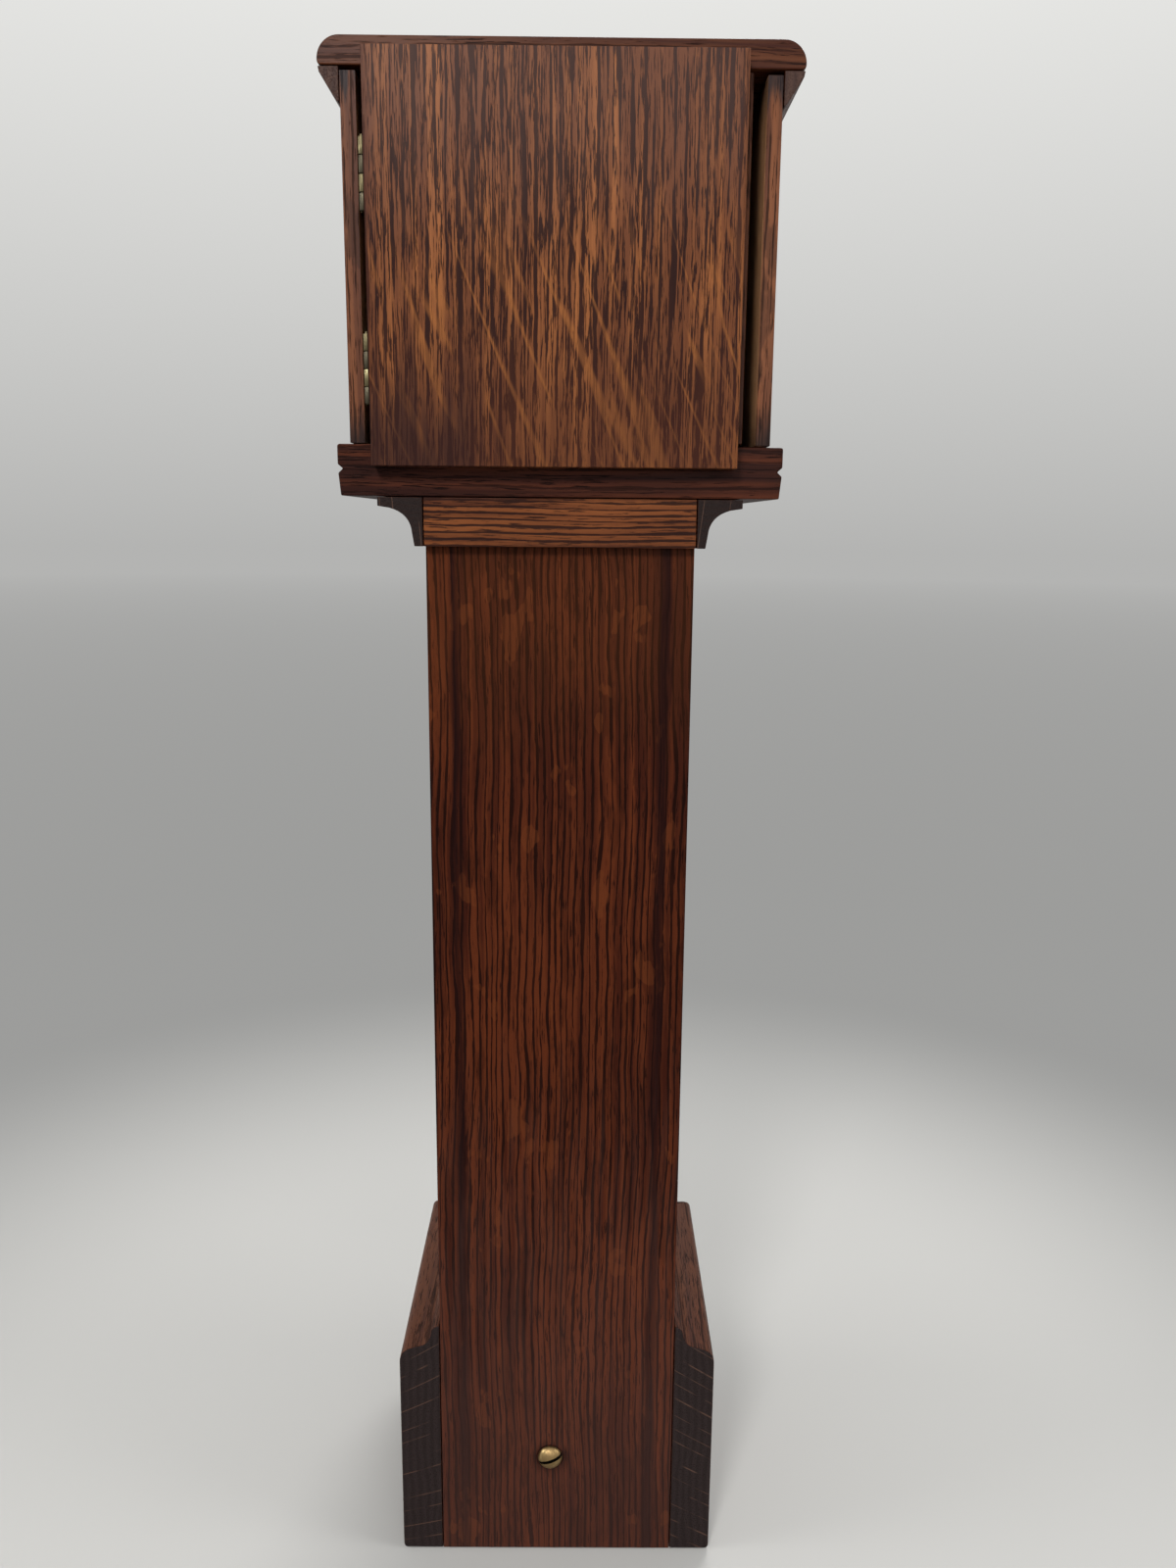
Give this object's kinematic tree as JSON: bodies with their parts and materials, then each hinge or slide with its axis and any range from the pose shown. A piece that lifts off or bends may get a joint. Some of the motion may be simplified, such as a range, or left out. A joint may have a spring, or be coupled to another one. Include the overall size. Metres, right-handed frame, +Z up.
{
  "type": "miniature grandfather clock",
  "caption": "Miniature longcase clock in dark oak with a square hood, hinged rear door, slim trunk, moulded plinth and a wind-up movement behind a glazed dial.",
  "frame": {"origin": "centre of the bounding box, on the surface that the clock stands on", "axes": "+Z up; the dial faces -Y and the rear door faces +Y; +X is the door's hinge side"},
  "size_m": [0.1274, 0.1158, 0.4633],
  "materials": {
    "oak_face": "waxed mid-brown quarter-sawn oak",
    "oak_dark": "waxed dark fumed oak",
    "oak_light": "waxed light oak",
    "oak_door": "waxed oak with open grain and ray flecks",
    "brass": "aged brass",
    "steel": "polished steel",
    "blued_steel": "blued spring steel",
    "dial_paint": "cream painted metal",
    "dial_glass": "clear polished glass"
  },
  "bodies": {
    "case": {"trunk_back": "oak_face", "trunk_side_left": "oak_face", "trunk_side_right": "oak_face", "trunk_front": "oak_face", "hood_side_left": "oak_face", "hood_side_right": "oak_face", "hood_stile_left": "oak_face", "hood_stile_right": "oak_face", "hood_rail_top": "oak_face", "hood_rail_bottom": "oak_face", "plinth_side_left": "oak_dark", "plinth_side_right": "oak_dark", "plinth_front": "oak_dark", "throat_moulding_left": "oak_dark", "throat_moulding_right": "oak_dark", "throat_moulding_front": "oak_dark", "hood_base_board": "oak_dark", "hood_top_board": "oak_dark", "cornice_left": "oak_dark", "cornice_right": "oak_dark", "cornice_front": "oak_dark", "throat_rail_back": "oak_light", "base_block": "oak_light", "dial_glass": "dial_glass", "dial_plate": "dial_paint", "base_screw": "brass", "movement_front_plate": "brass", "movement_back_plate": "brass", "upper_hinge_case_leaf": "brass", "lower_hinge_case_leaf": "brass", "hinge_case_screw_1": "brass", "hinge_case_screw_2": "brass", "hinge_case_screw_3": "brass", "hinge_case_screw_4": "brass", "hairspring": "blued_steel"},
    "door": {"rear_door": "oak_door", "door_inner_panel": "oak_dark", "upper_hinge_door_leaf": "brass", "lower_hinge_door_leaf": "brass", "hinge_door_screw_1": "brass", "hinge_door_screw_2": "brass", "hinge_door_screw_3": "brass", "hinge_door_screw_4": "brass"},
    "hands_arbor": {"centre_arbor": "steel", "set_knob": "brass", "minute_hand": "blued_steel"},
    "minute_wheel": {"minute_wheel": "brass"},
    "hour_wheel": {"hour_wheel": "brass", "hour_hand": "blued_steel"},
    "winding_arbor": {"winding_arbor": "steel", "winding_key": "brass"},
    "click": {"ratchet_click": "steel"},
    "barrel": {"mainspring_barrel": "brass", "mainspring": "blued_steel"},
    "centre_wheel": {"centre_wheel": "brass"},
    "third_wheel": {"third_wheel": "brass"},
    "fourth_wheel": {"fourth_wheel": "brass"},
    "escape_wheel": {"escape_wheel": "brass"},
    "lever": {"lever": "steel"},
    "balance": {"balance_wheel": "brass"}
  },
  "joints": [
    {"name": "door_hinge", "type": "hinge", "parent": "case", "child": "door", "pos_m": [0.0525, 0.05198, 0.4053], "axis": [0, 0, -1], "range_deg": [0, 100]},
    {"name": "hand_setting", "type": "hinge", "parent": "case", "child": "hands_arbor", "pos_m": [0, -0.02958, 0.40855], "axis": [0, 1, 0], "continuous": true},
    {"name": "minute_wheel_spin", "type": "hinge", "parent": "case", "child": "minute_wheel", "pos_m": [0.00866, -0.02958, 0.40355], "axis": [0, 1, 0], "continuous": true},
    {"name": "hour_hand_spin", "type": "hinge", "parent": "case", "child": "hour_wheel", "pos_m": [0, -0.02958, 0.40855], "axis": [0, 1, 0], "continuous": true},
    {"name": "winding", "type": "hinge", "parent": "case", "child": "winding_arbor", "pos_m": [-0.01205, -0.02958, 0.39135], "axis": [0, 1, 0], "continuous": true},
    {"name": "click_lift", "type": "hinge", "parent": "case", "child": "click", "pos_m": [-0.00334, -0.02958, 0.39541], "axis": [0, 1, 0], "range_deg": [0, 14]},
    {"name": "fourth_wheel_spin", "type": "hinge", "parent": "case", "child": "fourth_wheel", "pos_m": [0.0004, -0.02958, 0.42296], "axis": [0, 1, 0], "continuous": true},
    {"name": "third_wheel_spin", "type": "hinge", "parent": "case", "child": "third_wheel", "pos_m": [0.01034, -0.02958, 0.41723], "axis": [0, 1, 0], "continuous": true},
    {"name": "centre_wheel_spin", "type": "hinge", "parent": "case", "child": "centre_wheel", "pos_m": [0, -0.02958, 0.40855], "axis": [0, 1, 0], "continuous": true},
    {"name": "barrel_spin", "type": "hinge", "parent": "case", "child": "barrel", "pos_m": [-0.01205, -0.02958, 0.39135], "axis": [0, 1, 0], "continuous": true},
    {"name": "escape_wheel_spin", "type": "hinge", "parent": "case", "child": "escape_wheel", "pos_m": [-0.01023, -0.02958, 0.42484], "axis": [0, 1, 0], "continuous": true},
    {"name": "lever_swing", "type": "hinge", "parent": "case", "child": "lever", "pos_m": [-0.0176, -0.02958, 0.41968], "axis": [0, 1, 0], "range_deg": [-4, 4]},
    {"name": "balance_swing", "type": "hinge", "parent": "case", "child": "balance", "pos_m": [-0.02311, -0.02958, 0.41181], "axis": [0, 1, 0], "range_deg": [-200, 200], "stiffness_Nm_per_rad": 0.0000039}
  ],
  "couplings": [
    {"joint": "minute_wheel_spin", "follows": "hand_setting", "ratio": -0.33333},
    {"joint": "hour_hand_spin", "follows": "hand_setting", "ratio": 0.083333},
    {"joint": "third_wheel_spin", "follows": "fourth_wheel_spin", "ratio": -0.13333},
    {"joint": "centre_wheel_spin", "follows": "fourth_wheel_spin", "ratio": 0.016667},
    {"joint": "barrel_spin", "follows": "fourth_wheel_spin", "ratio": -0.0027778},
    {"joint": "escape_wheel_spin", "follows": "fourth_wheel_spin", "ratio": -8}
  ]
}
